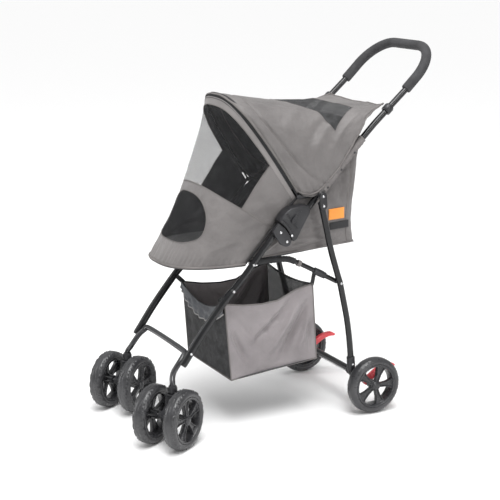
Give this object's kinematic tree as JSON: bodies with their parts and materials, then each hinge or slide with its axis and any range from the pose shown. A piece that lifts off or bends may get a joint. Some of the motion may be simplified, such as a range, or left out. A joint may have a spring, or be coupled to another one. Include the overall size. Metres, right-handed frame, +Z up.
{
  "type": "pet stroller",
  "caption": "Folding pet stroller with a fabric cabin and canopy on a steel-tube frame, a storage basket, twin-wheel front casters and braked rear wheels.",
  "frame": {"origin": "on the ground, at the centre of the bounding box of the whole stroller as it stands", "axes": "+Z up; -Y is the front, where the cabin's nose and the twin casters are; +Y is the rear, where the handle is; +X is the pusher's left"},
  "size_m": [0.4676, 0.8734, 0.9433],
  "materials": {
    "frame_black": "satin black powder coat",
    "frame_grey": "satin dark grey powder coat",
    "steel": "zinc plated",
    "black_plastic": "moulded, fine grain",
    "wheel_plastic": "moulded dark grey",
    "tyre": "solid foamed tyre",
    "grip_foam": "closed-cell foam",
    "grey_fabric": "warm grey woven polyester with black mesh",
    "basket_fabric": "light grey satin polyester",
    "floor_board": "covered board",
    "red_plastic": "moulded red"
  },
  "bodies": {
    "front_frame": {"front_leg_left": "frame_black", "front_leg_right": "frame_black", "front_leg_sleeve_left": "frame_black", "front_leg_sleeve_right": "frame_black", "front_u_frame": "frame_grey", "caster_socket_left": "black_plastic", "caster_socket_right": "black_plastic", "fold_bracket_left": "black_plastic", "fold_bracket_right": "black_plastic", "cabin_floor_hoop": "frame_black", "cabin_floor_board": "floor_board", "cabin_tub": "grey_fabric", "front_cover": "grey_fabric", "storage_basket": "basket_fabric"},
    "upper_frame": {"handle_tube": "frame_black", "handle_foam": "grip_foam", "tube_collar_left": "black_plastic", "tube_collar_right": "black_plastic", "latch_housing_left": "black_plastic", "latch_housing_right": "black_plastic", "fold_pin_left": "steel", "fold_pin_right": "steel", "rear_leg_bracket_left": "black_plastic", "rear_leg_bracket_right": "black_plastic", "canopy_clip_left": "black_plastic", "canopy_clip_right": "black_plastic", "canopy": "grey_fabric"},
    "latch_left": {"fold_latch_left": "black_plastic"},
    "latch_right": {"fold_latch_right": "black_plastic"},
    "canopy_bow": {"canopy_bow": "frame_black"},
    "rear_frame": {"rear_leg_left": "frame_black", "rear_leg_right": "frame_black", "rear_leg_foot_left": "black_plastic", "rear_leg_foot_right": "black_plastic", "rear_crossbar": "frame_black", "rear_axle": "steel", "axle_mount_left": "black_plastic", "axle_mount_right": "black_plastic"},
    "brake_left": {"brake_pedal_left": "red_plastic"},
    "brake_right": {"brake_pedal_right": "red_plastic"},
    "links": {"link_bar_left": "frame_black", "link_bar_right": "frame_black"},
    "caster_left": {"caster_fork_left": "black_plastic", "caster_axle_left": "steel"},
    "caster_right": {"caster_fork_right": "black_plastic", "caster_axle_right": "steel"},
    "rear_wheel_left": {"rear_wheel_left_rim": "wheel_plastic", "rear_wheel_left_tyre": "tyre"},
    "rear_wheel_right": {"rear_wheel_right_rim": "wheel_plastic", "rear_wheel_right_tyre": "tyre"},
    "caster_left_outer": {"caster_left_outer_rim": "wheel_plastic", "caster_left_outer_tyre": "tyre"},
    "caster_left_inner": {"caster_left_inner_rim": "wheel_plastic", "caster_left_inner_tyre": "tyre"},
    "caster_right_outer": {"caster_right_outer_rim": "wheel_plastic", "caster_right_outer_tyre": "tyre"},
    "caster_right_inner": {"caster_right_inner_rim": "wheel_plastic", "caster_right_inner_tyre": "tyre"}
  },
  "joints": [
    {"name": "frame_fold", "type": "hinge", "parent": "front_frame", "child": "upper_frame", "pos_m": [-0.0123, -0.025, 0.4775], "axis": [-1, 0, 0], "range_deg": [0, 108], "deforming": ["cabin_tub", "front_cover", "storage_basket", "canopy"]},
    {"name": "rear_leg_fold", "type": "hinge", "parent": "upper_frame", "child": "rear_frame", "pos_m": [-0.0123, 0.072, 0.5595], "axis": [1, 0, 0], "range_deg": [0, 63]},
    {"name": "link_fold", "type": "hinge", "parent": "front_frame", "child": "links", "pos_m": [-0.0123, -0.11, 0.425], "axis": [-1, 0, 0], "range_deg": [0, 70]},
    {"name": "canopy_open", "type": "hinge", "parent": "upper_frame", "child": "canopy_bow", "pos_m": [-0.0123, 0.023, 0.58], "axis": [-1, 0, 0], "range_deg": [0, 70], "deforming": ["canopy"]},
    {"name": "latch_left_slide", "type": "slide", "parent": "upper_frame", "child": "latch_left", "axis": [0, 0.6871, 0.7266], "range_m": [0, 0.01], "stiffness_N_per_m": 400, "springref_m": -0.005},
    {"name": "brake_left_pedal", "type": "hinge", "parent": "rear_frame", "child": "brake_left", "pos_m": [0.1417, 0.223, 0.07436], "axis": [-1, 0, 0], "range_deg": [0, 25]},
    {"name": "caster_left_swivel", "type": "hinge", "parent": "front_frame", "child": "caster_left", "pos_m": [0.1337, -0.327, 0.11], "axis": [0, 0, 1], "continuous": true},
    {"name": "latch_right_slide", "type": "slide", "parent": "upper_frame", "child": "latch_right", "axis": [0, 0.6871, 0.7266], "range_m": [0, 0.01], "stiffness_N_per_m": 400, "springref_m": -0.005},
    {"name": "brake_right_pedal", "type": "hinge", "parent": "rear_frame", "child": "brake_right", "pos_m": [-0.1663, 0.223, 0.07436], "axis": [-1, 0, 0], "range_deg": [0, 25]},
    {"name": "caster_right_swivel", "type": "hinge", "parent": "front_frame", "child": "caster_right", "pos_m": [-0.1583, -0.327, 0.11], "axis": [0, 0, 1], "continuous": true},
    {"name": "rear_wheel_left_spin", "type": "hinge", "parent": "rear_frame", "child": "rear_wheel_left", "pos_m": [0.1747, 0.223, 0.07436], "axis": [1, 0, 0], "continuous": true},
    {"name": "caster_left_outer_spin", "type": "hinge", "parent": "caster_left", "child": "caster_left_outer", "pos_m": [0.18165, -0.32119, 0.07436], "axis": [0.829, 0.5592, 0], "continuous": true},
    {"name": "caster_left_inner_spin", "type": "hinge", "parent": "caster_left", "child": "caster_left_inner", "pos_m": [0.11035, -0.36928, 0.07436], "axis": [0.829, 0.5592, 0], "continuous": true},
    {"name": "rear_wheel_right_spin", "type": "hinge", "parent": "rear_frame", "child": "rear_wheel_right", "pos_m": [-0.1993, 0.223, 0.07436], "axis": [1, 0, 0], "continuous": true},
    {"name": "caster_right_outer_spin", "type": "hinge", "parent": "caster_right", "child": "caster_right_outer", "pos_m": [-0.18165, -0.36928, 0.07436], "axis": [0.829, 0.5592, 0], "continuous": true},
    {"name": "caster_right_inner_spin", "type": "hinge", "parent": "caster_right", "child": "caster_right_inner", "pos_m": [-0.11035, -0.32119, 0.07436], "axis": [0.829, 0.5592, 0], "continuous": true}
  ],
  "couplings": [
    {"joint": "rear_leg_fold", "follows": "frame_fold", "ratio": 0.571},
    {"joint": "link_fold", "follows": "frame_fold", "ratio": 0.63}
  ]
}
